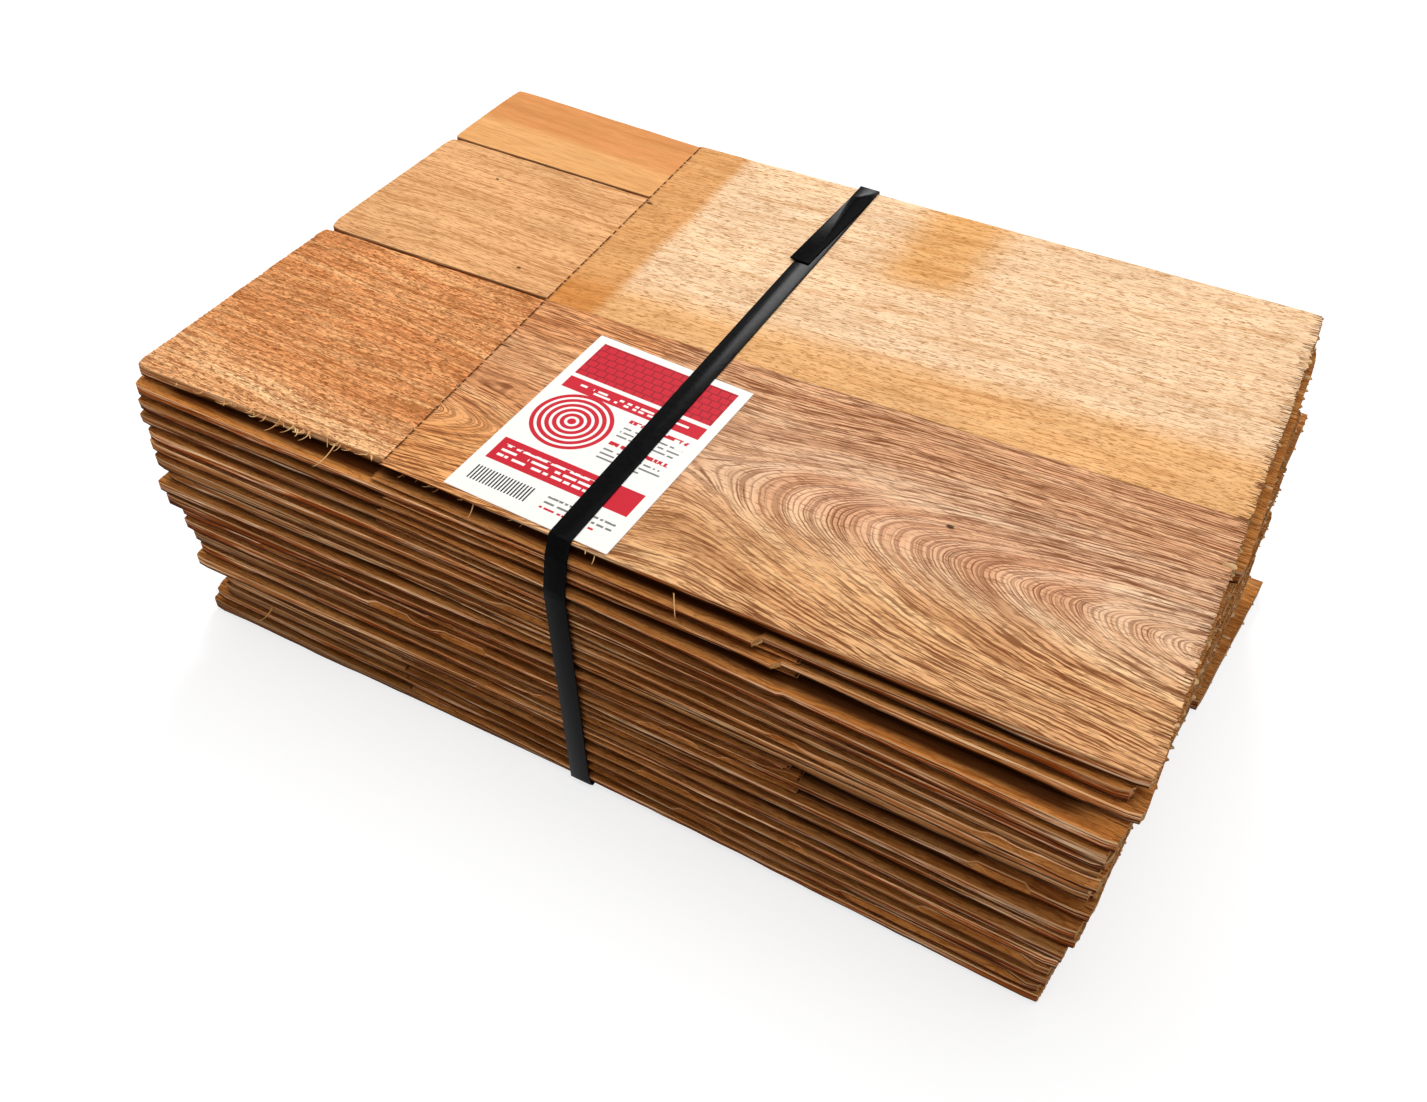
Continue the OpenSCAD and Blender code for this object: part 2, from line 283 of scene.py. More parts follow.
def growth_lines(tree, at, board):
    """Late wood, from 0 to 1: a dark line to each year, three where the rings are cut flat, broken here and there, and
    finer lines between."""
    turned = put(tree, "ShaderNodeMapRange", {0: at.steep, 1: 0.8, 2: 0.35, 3: 0.0, 4: 1.0})
    year = put(tree, "ShaderNodeMath", {0: at.across, 1: math.tau / board.spacing}, operation="MULTIPLY")
    third = put(tree, "ShaderNodeMath", {0: year, 1: 3.0}, operation="MULTIPLY")
    year = put(tree, "ShaderNodeMath", {0: year}, operation="SINE")
    third = put(tree, "ShaderNodeMath", {0: third}, operation="SINE")
    late = put(tree, "ShaderNodeMix", {0: turned, 2: year, 3: third})
    start = put(tree, "ShaderNodeMapRange", {0: turned, 3: 1.0, 4: 3.0})
    start = put(tree, "ShaderNodeMath", {0: start, 1: at.steep}, operation="MULTIPLY")
    start = put(tree, "ShaderNodeMath", {0: 1.0, 1: start}, operation="SUBTRACT", use_clamp=True)
    late = put(tree, "ShaderNodeMapRange", {0: late, 1: start, 2: 1.0}, **SMOOTH)
    kept = put(tree, "ShaderNodeMapRange", {0: at.chance["broken ring"], 1: 0.36, 2: 0.58, 3: 0.0, 4: board.rings})
    late = put(tree, "ShaderNodeMath", {0: late, 1: kept}, operation="MULTIPLY")
    fine = put(tree, "ShaderNodeMix", {0: turned, 2: at.chance["line"], 3: at.chance["fine line"]})
    fine = put(tree, "ShaderNodeMapRange", {0: fine, 1: 0.5, 2: 0.62, 3: 0.0, 4: board.lines}, **SMOOTH)
    fainter = put(tree, "ShaderNodeMath", {0: turned, 1: -0.4, 2: 1.0}, operation="MULTIPLY_ADD")
    fine = put(tree, "ShaderNodeMath", {0: fine, 1: fainter}, operation="MULTIPLY")
    return put(tree, "ShaderNodeMath", {0: late, 1: fine}, operation="MAXIMUM")


def face_marks_and_shade(tree, at, board):
    """The dark spots and lines on the broad faces, and the painted shade on them, as pairs of how much and which
    colour. The first are the pores.
    """
    # Open pores: dashes along the grain, drawn as coarse as they need to show
    pore = put(tree, "ShaderNodeMapRange", {0: at.chance["pore"], 1: 0.58, 2: 0.63, 3: 0.0, 4: board.dashes}, **SMOOTH)
    deep = put(tree, "ShaderNodeMix", {0: 0.2, 6: linear(board.dark), 7: linear("#5a2a08")}, **COLOURS)
    marks_and_shade = [(pore, deep)]
    # Pin knots and short checks, each in its place
    for speck_x, speck_y, long, wide in board.specks:
        spot = put(tree, "ShaderNodeVectorMath", {0: at.place, 1: (speck_x, speck_y, 0.0)}, operation="SUBTRACT")
        spot = put(tree, "ShaderNodeVectorMath", {0: spot, 1: (1 / long, 1 / wide, 0.0)}, operation="MULTIPLY")
        spot = put(tree, "ShaderNodeVectorMath", {0: spot}, operation="LENGTH", out="Value")
        spot = put(tree, "ShaderNodeMapRange", {0: spot, 1: 0.6, 2: 1.2, 3: 0.9, 4: 0.0}, **SMOOTH)
        marks_and_shade.append((spot, linear("#35190a")))
    # Short checks that run in from the butt
    check = put(tree, "ShaderNodeMapRange", {0: at.chance["check"], 1: 0.51, 2: 0.57, 3: 0.0, 4: board.checks})
    long = put(tree, "ShaderNodeMapRange", {0: at.chance["check length"], 1: 0.35, 2: 0.7, 3: 0.5, 4: 9.0})
    within = put(tree, "ShaderNodeMath", {0: at.butt, 1: long}, operation="LESS_THAN")
    check = put(tree, "ShaderNodeMath", {0: check, 1: within}, operation="MULTIPLY")
    marks_and_shade.append((check, linear("#4a210a")))
    # Painted shadow: a dotted dark line along the thin tip stands in for the small shadow that its end casts
    tip = put(tree, "ShaderNodeMapRange", {0: at.tip, 1: 0.38, 2: 0.6}, **SMOOTH)
    tip_shadow_dots = put(tree, "ShaderNodeMapRange", {0: at.chance["tip_shadow_dots"], 1: 0.42, 2: 0.5, 3: 0.1, 4: 1.0})
    tip_shadow_dots = put(tree, "ShaderNodeMath", {0: tip_shadow_dots, 1: tip}, operation="MULTIPLY")
    marks_and_shade.append((tip_shadow_dots, linear("#4a2410")))
    # Painted shade: the face between the courses, out of the light, is darkened
    painted_joint_shade = put(tree, "ShaderNodeMapRange", {0: at.depth, 1: 1.0, 2: 8.0, 3: 0.0, 4: board.joints}, **SMOOTH)
    marks_and_shade.append((painted_joint_shade, linear("#331100")))
    return marks_and_shade


def long_edge(tree, at):
    """The long edges, their colour and their relief: streaks 1 mm thick and some centimetres long, with dark splits, no
    two shingles quite alike. A painted highlight lightens the upper arris, and a painted shade darkens the bottom of
    the edge above the gap beneath."""
    edge = put(tree, "ShaderNodeValToRGB", {0: at.chance["layer"]})
    set_stops(edge, (0.27, "#3a1200"), (0.63, "#f4d2a8"), (0.4, "#7a3005"), (0.52, "#a9571c"))
    paler = put(tree, "ShaderNodeMapRange", {0: at.luck, 1: 0.5, 2: 0.95, 3: 0.0, 4: 0.5})
    split = put(tree, "ShaderNodeMapRange", {0: at.chance["split"], 1: 0.58, 2: 0.66, 3: 0.0, 4: 0.85}, **SMOOTH)
    # Painted highlight along the upper arris, and painted shade at the bottom of the edge, reaching higher away from
    # the butt
    painted_rim_highlight = put(tree, "ShaderNodeMapRange", {0: at.rise, 1: 0.74, 2: 1.0, 3: 0.0, 4: 0.75}, **SMOOTH)
    painted_foot_shade = put(tree, "ShaderNodeMapRange", {0: at.butt, 1: 20.0, 2: 220.0, 3: 0.3, 4: 0.5})
    painted_foot_shade = put(tree, "ShaderNodeMapRange", {0: at.rise, 1: 0.05, 2: painted_foot_shade, 3: 0.95, 4: 0.0}, **SMOOTH)
    for much, shade in ((paler, "#d29a5e"), (split, "#2c1003"), (painted_rim_highlight, "#f6c68e"), (painted_foot_shade, "#2a0c00")):
        edge = put(tree, "ShaderNodeMix", {0: much, 6: edge, 7: linear(shade)}, **COLOURS)
    # The tone, with its painted shade of the lower courses, lifts or lowers the edge colour
    lift = put(tree, "ShaderNodeMapRange", {0: at.tone, 1: -1.0, 2: 1.0, 3: 0.55, 4: 1.5})
    edge = put(tree, "ShaderNodeHueSaturation", {"Color": edge, "Value": lift})
    return edge, put(tree, "ShaderNodeMath", {0: at.chance["layer"], 1: split}, operation="SUBTRACT")


def sawn_end(tree, at):
    """The sawn ends, their colour and their relief: growth rings seen end on, at another slope in each shingle, crumbly
    and with dark pits."""
    crumb = put(tree, "ShaderNodeMix", {0: 0.3, 2: at.chance["end ring"], 3: at.chance["crumb"]})
    end = put(tree, "ShaderNodeValToRGB", {0: crumb})
    set_stops(end, (0.36, "#3f1c06"), (0.64, "#f2ca92"), (0.46, "#bd8248"))
    return end, crumb


def cedar(name, pale, mid, dark, **looks):
    """Sawn western red cedar: soft and matt, with fine dark growth lines and short open pores along the grain. Its long
    edges are streaky and darker, with a painted highlight along their upper arris and painted shade at their bottom,
    and its sawn ends are crumbly."""
    board = SimpleNamespace(pale=pale, mid=mid, dark=dark, **{**PLAIN_BOARD, **looks})
    material, tree, shader, place = new_material(name)
    at = board_places(tree, place, board)
    late = growth_lines(tree, at, board)
    marks_and_shade = face_marks_and_shade(tree, at, board)
    face = face_shades(tree, at, board)
    for much, shade in [(late, linear(dark)), *marks_and_shade]:
        face = put(tree, "ShaderNodeMix", {0: much, 6: face, 7: shade}, **COLOURS)
    # The tone, with its painted shade of the lower courses, lifts or lowers the face colour
    lift = put(tree, "ShaderNodeMapRange", {
        0: at.tone, 1: -1.0, 2: 1.0, 3: 1 - board.tone_spread, 4: 1 + board.tone_spread})
    face = put(tree, "ShaderNodeHueSaturation", {"Color": face, "Value": lift})
    edge, torn = long_edge(tree, at)
    end, crumb = sawn_end(tree, at)

    # Faces look up or down, and ends along the grain
    normal = put(tree, "ShaderNodeNewGeometry", out="True Normal")
    normal = put(tree, "ShaderNodeVectorMath", {0: normal}, operation="ABSOLUTE")
    facing = put(tree, "ShaderNodeSeparateXYZ", {0: normal}).node.outputs
    is_face = put(tree, "ShaderNodeMapRange", {0: facing["Z"], 1: 0.62, 2: 0.8}, **SMOOTH)
    is_end = put(tree, "ShaderNodeMapRange", {0: facing["X"], 1: 0.45, 2: 0.7}, **SMOOTH)
    colour = put(tree, "ShaderNodeMix", {0: is_end, 6: edge, 7: end}, **COLOURS)
    colour = put(tree, "ShaderNodeMix", {0: is_face, 6: colour, 7: face}, **COLOURS)
    tree.links.new(colour, shader.inputs["Base Color"])

    # Relief: growth lines and pores are sunk, edges and ends are torn
    relief = put(tree, "ShaderNodeMath", {0: late, 1: marks_and_shade[0][0]}, operation="MAXIMUM")
    relief = put(tree, "ShaderNodeMath", {0: 1.0, 1: relief}, operation="SUBTRACT")
    torn = put(tree, "ShaderNodeMix", {0: is_end, 2: torn, 3: crumb})
    relief = put(tree, "ShaderNodeMix", {0: is_face, 2: torn, 3: relief})
    bump = put(tree, "ShaderNodeBump", {"Strength": 0.6, "Distance": 0.5 * MM, "Height": relief})
    tree.links.new(bump, shader.inputs["Normal"])
    rough = put(tree, "ShaderNodeMapRange", {0: at.chance["streak"], 1: 0.3, 2: 0.7, 3: 0.75, 4: 0.62})
    tree.links.new(rough, shader.inputs["Roughness"])
    shader.inputs["Specular IOR Level"].default_value = 0.04
    return material


FAR = 400   # past any end of the bundle
# The common boards get painted shade on the face between the courses
cedar_common = cedar(
    "cedar_sawn_brown", "#e8a864", "#d08844", "#8a4518", dashes=0.4, checks=0.6, tone_spread=0.2, joints=0.95)
cedar_orange = cedar(
    "cedar_sawn_orange_fuzzy", "#ffd29c", "#f0b078", "#96511f", lines=0.6, dashes=0.85, dash=(3.4, 0.75), nap=0.48,
    patches=((-FAR, FAR, -148, 100, 16.0, "#f0dccb"),))
cedar_golden = cedar(
    "cedar_sawn_golden", "#f8c28a", "#e9b07a", "#a9682f", lines=0.5, dashes=0.6, dash=(6.0, 0.75), lean=0.04,
    specks=((-227, 78, 1.4, 0.9), (-161, 4, 1.6, 1.0)))
cedar_honey = cedar(
    "cedar_sawn_honey", "#f1b87a", "#e8ab6d", "#c88a4e", lines=0.3, dashes=0.3, dash=(14.0, 0.8),
    patches=((-FAR, FAR, 140, FAR, 8.0, "#f2dcd0"),))
cedar_blond = cedar(
    "cedar_sawn_blond", "#ffdfba", "#f8d2a8", "#bd7f42", lines=0.4, dashes=0.8, dash=(4.2, 0.6), lean=0.1, checks=0.9,
    patches=((-FAR, -97, -60, FAR, 5.0, "#e9caa2"), (28, 80, 96, FAR, 17.0, "#f0d4a8"),
             (-FAR, FAR, -60, 24, 14.0, "#f5dfbf")),
    specks=((-134, 138, 2.2, 1.0), (-128, 101, 2.4, 1.2)))
cedar_red = cedar(
    "cedar_flat_sawn_red", "#ffdcb6", "#e6b48c", "#743c1a", lines=0.88, rings=0.82, spacing=2.1, apart=1.0,
    dashes=0.5, dash=(6.0, 0.7), checks=0.7, swing=2.5,
    hearts=((345, -96, 4.2, 1.35, 0.0, 310), (-190, -128, 5.0, 1.2, 40.0, 400)),
    patches=((-FAR, FAR, -46, 60, 20.0, "#fdf0e4"), (-FAR, FAR, -FAR, -118, 26.0, "#fff3d8"),
             (-FAR, -40, -FAR, 60, 20.0, "#ffe9d0"), (60, 225, -104, -72, 9.0, "#fff4f0")),
    specks=((147.5, -77, 2.4, 1.5), (-127, -65, 9.0, 0.8)))


def cedar_fibre(name, dark, pale):
    """Bare cedar fibre: pale gold and dull, as it is where it has just torn, with browner bits."""
    material, tree, shader, place = new_material(name)
    patchy = put(tree, "ShaderNodeTexNoise", {"Vector": place, "Scale": 0.12, "Detail": 2.0})
    patchy = put(tree, "ShaderNodeMapRange", {0: patchy, 1: 0.3, 2: 0.7})
    colour = put(tree, "ShaderNodeMix", {0: patchy, 6: linear(dark), 7: linear(pale)}, **COLOURS)
    tree.links.new(colour, shader.inputs["Base Color"])
    shader.inputs["Roughness"].default_value = 0.7
    shader.inputs["Specular IOR Level"].default_value = 0.2
    return material


# Strap and label finishes

def strapping():
    """Extruded polyester strap: black, smooth, with a soft sheen and faint ribs, 0.8 mm wide, along it."""
    material, tree, shader, place = new_material("black_polyester_strap")
    dust = put(tree, "ShaderNodeTexNoise", {"Vector": place, "Scale": 0.35, "Detail": 4.0, "Roughness": 0.7})
    colour = put(tree, "ShaderNodeValToRGB", {0: dust})
    set_stops(colour, (0.35, "#040405"), (0.8, "#0c0c0e"))
    tree.links.new(colour, shader.inputs["Base Color"])
    ribs = put(tree, "ShaderNodeVectorMath", {0: place, 1: (1 / 0.8, 1 / 40, 1 / 40)}, operation="MULTIPLY")
    ribs = put(tree, "ShaderNodeTexNoise", {"Vector": ribs, "Scale": 1.0, "Detail": 1.0})
    bump = put(tree, "ShaderNodeBump", {"Strength": 0.25, "Distance": 0.15 * MM, "Height": ribs})
    tree.links.new(bump, shader.inputs["Normal"])
    rough = put(tree, "ShaderNodeMapRange", {0: dust, 1: 0.3, 2: 0.7, 3: 0.16, 4: 0.24})
    tree.links.new(rough, shader.inputs["Roughness"])
    shader.inputs["IOR"].default_value = 1.57
    shader.inputs["Specular IOR Level"].default_value = 0.02
    return material


# The card's print in millimetres from its middle: across, towards the back, half width, half depth, ink, pattern
LABEL_INKS = {"red": "#c6162b", "white": "#f3f1ec", "grey": "#77756f", "dark": "#8a0c1c", "black": "#1d1b1a"}
RINGS_X, RINGS_Y, RING_PITCH, RING_BAND, RINGS_REACH = -21, 1, 4.0, 2.4, 22.4
ROOF_WIDE, ROOF_HIGH, ROOF_JOINT = 6.0, 5.0, 0.35
TICK_PITCH, TICK_WIDE = 1.9, 0.9
WORD_LONG, WORD_ROW = 2.6, 3.5
LABEL_BLOCKS = (
    (0, 51, 43, 15, "red", "plain"), (0, 51, 43, 15, "dark", "courses"), (0, 28, 43, 5, "red", "plain"),
    (0, 28.8, 34, 0.8, "white", "words"), (0, 26.2, 24, 0.8, "white", "words"),
    (RINGS_X, RINGS_Y, 22.6, 22.6, "red", "rings"),
    (23, 17, 18, 1.4, "red", "words"), (23, 11, 18, 0.6, "grey", "words"), (23, 7.5, 18, 0.6, "grey", "words"),
    (23, 4, 18, 0.6, "grey", "words"), (23, -2.5, 18, 1.4, "red", "words"), (23, -8, 18, 0.6, "grey", "words"),
    (23, -11.5, 18, 0.6, "grey", "words"), (19, -15, 14, 0.6, "grey", "words"),
    (0, -36, 43, 9, "red", "plain"), (-6, -32, 33, 0.9, "white", "words"), (-6, -36, 33, 0.9, "white", "words"),
    (-6, -40, 33, 0.9, "white", "words"),
    (-24, -57, 18, 5.5, "black", "ticks"), (22, -53, 20, 0.7, "grey", "words"), (22, -57, 20, 0.7, "grey", "words"),
    (18, -61, 16, 0.7, "red", "words"))


def print_patterns(tree, place):
    """What is printed in the blocks, from 0 to 1: courses of roof shingles, growth rings, rule marks and rows of dashes
    in place of words."""
    roof = put(tree, "ShaderNodeTexBrick", {
        "Vector": place, "Color1": (0, 0, 0, 1), "Color2": (0, 0, 0, 1), "Mortar": (1, 1, 1, 1), "Scale": 1.0,
        "Mortar Size": ROOF_JOINT, "Mortar Smooth": 0.0, "Brick Width": ROOF_WIDE, "Row Height": ROOF_HIGH})
    roof = put(tree, "ShaderNodeRGBToBW", {0: roof})
    off = put(tree, "ShaderNodeVectorMath", {0: place, 1: (RINGS_X, RINGS_Y, 0.0)}, operation="SUBTRACT")
    off = put(tree, "ShaderNodeVectorMath", {0: off, 1: (1.0, 1.0, 0.0)}, operation="MULTIPLY")
    radius = put(tree, "ShaderNodeVectorMath", {0: off}, operation="LENGTH", out="Value")
    ring = put(tree, "ShaderNodeMath", {0: radius, 1: RING_PITCH}, operation="MODULO")
    ring = put(tree, "ShaderNodeMath", {0: ring, 1: RING_BAND}, operation="LESS_THAN")
    disc = put(tree, "ShaderNodeMath", {0: radius, 1: RINGS_REACH}, operation="LESS_THAN")
    rings = put(tree, "ShaderNodeMath", {0: ring, 1: disc}, operation="MULTIPLY")
    ticks = put(tree, "ShaderNodeSeparateXYZ", {0: place})
    ticks = put(tree, "ShaderNodeMath", {0: ticks, 1: TICK_PITCH}, operation="FLOORED_MODULO")
    ticks = put(tree, "ShaderNodeMath", {0: ticks, 1: TICK_WIDE}, operation="LESS_THAN")
    words = put(tree, "ShaderNodeVectorMath", {0: place, 1: (0.02, WORD_ROW, 1.0)}, operation="SNAP")
    words = put(tree, "ShaderNodeVectorMath", {0: words, 1: (1 / WORD_LONG, 1 / 1.7, 0.0)}, operation="MULTIPLY")
    words = put(tree, "ShaderNodeTexNoise", {"Vector": words, "Scale": 1.0, "Detail": 0.0})
    words = put(tree, "ShaderNodeMath", {0: words, 1: 0.42}, operation="GREATER_THAN")
    return {"courses": roof, "rings": rings, "ticks": ticks, "words": words}


def label_card(centre, turn):
    """Coated white card, printed in crimson, grey and black: flat, dull, with a little wear in the ink."""
    material, tree, shader, place = new_material("printed_white_card")
    place = put(tree, "ShaderNodeMapping", {"Vector": place, "Location": centre / MM, "Rotation": (0, 0, turn)},
                vector_type="TEXTURE")
    fibre = put(tree, "ShaderNodeTexNoise", {"Vector": place, "Scale": 0.6, "Detail": 5.0, "Roughness": 0.7})
    colour = put(tree, "ShaderNodeMix", {0: fibre, 6: linear("#eeebe4"), 7: linear("#f8f7f3")}, **COLOURS)
    worn = put(tree, "ShaderNodeMapRange", {0: fibre, 1: 0.68, 2: 0.76, 3: 1.0, 4: 0.7})
    pattern = print_patterns(tree, place)
    for block_x, block_y, half_width, half_depth, ink, print_kind in LABEL_BLOCKS:
        off = put(tree, "ShaderNodeVectorMath", {0: place, 1: (block_x, block_y, 0.0)}, operation="SUBTRACT")
        off = put(tree, "ShaderNodeVectorMath", {0: off}, operation="ABSOLUTE")
        scale = (1 / half_width, 1 / half_depth, 0.0)
        off = put(tree, "ShaderNodeVectorMath", {0: off, 1: scale}, operation="MULTIPLY")
        part = put(tree, "ShaderNodeSeparateXYZ", {0: off}).node.outputs
        reach = put(tree, "ShaderNodeMath", {0: part["X"], 1: part["Y"]}, operation="MAXIMUM")
        inside = put(tree, "ShaderNodeMath", {0: reach, 1: 1.0}, operation="LESS_THAN")
        inside = put(tree, "ShaderNodeMath", {0: inside, 1: worn}, operation="MULTIPLY")
        if print_kind in pattern:
            inside = put(tree, "ShaderNodeMath", {0: inside, 1: pattern[print_kind]}, operation="MULTIPLY")
        colour = put(tree, "ShaderNodeMix", {0: inside, 6: colour, 7: linear(LABEL_INKS[ink])}, **COLOURS)
    tree.links.new(colour, shader.inputs["Base Color"])
    bump = put(tree, "ShaderNodeBump", {"Strength": 0.15, "Distance": 0.1 * MM, "Height": fibre})
    tree.links.new(bump, shader.inputs["Normal"])
    shader.inputs["Roughness"].default_value = 0.6
    shader.inputs["Specular IOR Level"].default_value = 0.15
    return material


# Shingles

LENGTH, WIDTH, THICK = 406 * MM, 150 * MM, 10 * MM
# Rows of points, in millimetres from each end, from each long edge and from below, and cuts along the grain
ROWS_ALONG, ROWS_ACROSS, ROWS_UP = (1, 8, 20), (1, 10, 26), (3.4, 6.6)
CUTS_ALONG = 107
END_REACH = 8.5 * MM


def model_shingle(end_cuts):
    """One sawn shingle, level for now, with rows of points near its edges and ends that wear can move."""
    bpy.ops.mesh.primitive_cube_add(size=1, location=(LENGTH / 2, WIDTH / 2, THICK / 2))
    piece = bpy.context.object
    piece.name = "shingle_pattern"
    piece.scale = (LENGTH, WIDTH, THICK)
    bpy.ops.object.transform_apply(location=True, rotation=True, scale=True)
    bpy.ops.object.mode_set(mode="EDIT")
    rows = []
    for axis, size, steps in ((0, LENGTH, ROWS_ALONG), (1, WIDTH, ROWS_ACROSS)):
        rows += [(axis, r * MM) for r in steps] + [(axis, size - r * MM) for r in steps]
    for axis, row in rows + [(2, r * MM) for r in ROWS_UP]:
        across = Vector((0, 0, 0))
        across[axis] = 1
        bpy.ops.mesh.select_all(action="SELECT")
        bpy.ops.mesh.bisect(plane_co=across * row, plane_no=across)
    select_edges(lambda a, b: abs(a.x - b.x) > LENGTH / 2)
    bpy.ops.mesh.subdivide(number_cuts=CUTS_ALONG)
    # Near the ends, the strips between the rows are cut as finely as the middle
    ends = LENGTH / 2 - END_REACH
    for shortest, longest, cuts in ((5, 12, end_cuts // 11), (12, 20, end_cuts // 6), (50, 120, end_cuts)):
        select_edges(lambda a, b: shortest * MM < abs(a.y - b.y) < longest * MM and abs(a.x - LENGTH / 2) > ends)
        bpy.ops.mesh.subdivide(number_cuts=cuts)
    bpy.ops.object.mode_set(mode="OBJECT")
    return piece


WEAR_SHIFT = (3.71, 5.37, 7.13)   # moves each shingle to another place in the chance patterns
TOOTH_PITCH = 3.5 * MM
BUTT_BOW, TIP_NIBBLE, ARRIS_WEAR = 1.5 * MM, 0.8 * MM, 0.8 * MM
# The second is how far in from the tip the painted shadow along the tip reaches
CORNER_REACH, TIP_SHADOW = 9 * MM, 2 * MM
MOST_HOLLOW, BUTT_HOLLOW = 0.55 * THICK, 0.35
BUTT_DEPTH = 0.25   # how much a distance from the butt counts as depth between the courses, for the painted shade there
WEAR_SIZES = ("Seed", "Tone", "Long", "Wide", "Butt at", "Butt thick", "Tip thick", "Teeth", "Wander", "Gap",
              "Sliver", "Corner", "Break at", "Break", "Front open", "Back open")


def wear_places(tree, given):
    """What the wear needs to know of a point: its distance from each edge, how near that is, how high it lies in the
    wood, and the chance patterns."""
    at = SimpleNamespace(near={}, chance={})
    place = put(tree, "GeometryNodeInputPosition")
    at.x, at.y, at.z = put(tree, "ShaderNodeSeparateXYZ", {0: place}).node.outputs
    from_butt = put(tree, "ShaderNodeMath", {0: at.x, 1: given["Butt at"]}, operation="SUBTRACT")
    at.from_butt = put(tree, "ShaderNodeMath", {0: from_butt}, operation="ABSOLUTE")
    at.from_tip = put(tree, "ShaderNodeMath", {0: given["Long"], 1: at.from_butt}, operation="SUBTRACT")
    at.from_back = put(tree, "ShaderNodeMath", {0: given["Wide"], 1: at.y}, operation="SUBTRACT")
    at.level = put(tree, "ShaderNodeMath", {0: at.z, 1: THICK}, operation="DIVIDE")
    at.low = put(tree, "ShaderNodeMath", {0: 1.0, 1: at.level}, operation="SUBTRACT")
    at.high = put(tree, "ShaderNodeMapRange", {0: at.level, 1: 0.34, 2: 0.66})

    # How near an edge is, from 1 to 0 between two distances in millimetres
    for name, distance, start, end in (
            ("butt", at.from_butt, 0, 12), ("tip", at.from_tip, 0, 8),
            ("front", at.y, 0, 12), ("back", at.from_back, 0, 12),
            ("front arris", at.y, 0, 3), ("back arris", at.from_back, 0, 3),
            ("front hollow", at.y, 8, 27), ("back hollow", at.from_back, 8, 27)):
        at.near[name] = put(tree, "ShaderNodeMapRange", {
            0: distance, 1: start * MM, 2: end * MM, 3: 1.0, 4: 0.0}, **SMOOTH)

    # Chance patterns, each named for what it does, by its size along, across and up in millimetres
    shift = put(tree, "ShaderNodeVectorMath", {0: WEAR_SHIFT, "Scale": given["Seed"]}, operation="SCALE")
    moved = put(tree, "ShaderNodeVectorMath", {0: place, 1: shift}, operation="ADD")
    for name, size, detail in (
            ("wander", (110, 70, 300), 1.0), ("split", (16, 40, 30), 1.0), ("tear", (6, 20, 4), 1.0),
            ("gap", (60, 60, 300), 2.0), ("tooth", (60, 9, 14), 0.0), ("bow", (60, 30, 60), 1.0),
            ("nibble", (30, 4, 8), 1.0), ("sliver", (75, 60, 300), 1.0)):
        scale = tuple(1 / (s * MM) for s in size)
        vector = put(tree, "ShaderNodeVectorMath", {0: moved, 1: scale}, operation="MULTIPLY")
        at.chance[name] = put(tree, "ShaderNodeTexNoise", {"Vector": vector, "Scale": 1.0, "Detail": detail})
    return at


def worn_long_edges(tree, given, at):
    """How far the long edges move in, and how deep the hollow under them is."""
    inside = put(tree, "ShaderNodeMath", {
        0: at.chance["split"], 1: 0.25, 2: at.chance["wander"]}, operation="MULTIPLY_ADD")
    inside = put(tree, "ShaderNodeMath", {0: at.chance["tear"], 1: 0.2, 2: inside}, operation="MULTIPLY_ADD")
    inside = put(tree, "ShaderNodeMath", {0: inside, 1: given["Wander"]}, operation="MULTIPLY")
    hollow = put(tree, "ShaderNodeMapRange", {0: at.chance["gap"], 1: 0.32, 2: 0.62, 3: 0.5, 4: 1.0})
    hollow = put(tree, "ShaderNodeMath", {0: hollow, 1: given["Gap"]}, operation="MULTIPLY")
    hollow = put(tree, "ShaderNodeMath", {0: hollow, 1: at.low}, operation="MULTIPLY")
    inside = put(tree, "ShaderNodeMath", {0: hollow, 1: 0.08, 2: inside}, operation="MULTIPLY_ADD")
    sliver = put(tree, "ShaderNodeMapRange", {0: at.chance["sliver"], 1: 0.56, 2: 0.58}, **SMOOTH)
    sliver = put(tree, "ShaderNodeMath", {0: sliver, 1: given["Sliver"]}, operation="MULTIPLY")
    inside = put(tree, "ShaderNodeMath", {0: sliver, 1: at.high, 2: inside}, operation="MULTIPLY_ADD")
    side = put(tree, "ShaderNodeMath", {0: at.near["front"], 1: at.near["back"]}, operation="SUBTRACT")
    move_y = put(tree, "ShaderNodeMath", {0: inside, 1: side}, operation="MULTIPLY")
    past = put(tree, "ShaderNodeMath", {0: at.x, 1: given["Break at"]}, operation="GREATER_THAN")
    past = put(tree, "ShaderNodeMath", {0: past, 1: given["Break"]}, operation="MULTIPLY")
    move_y = put(tree, "ShaderNodeMath", {0: past, 1: at.near["front"], 2: move_y}, operation="MULTIPLY_ADD")
    return move_y, hollow


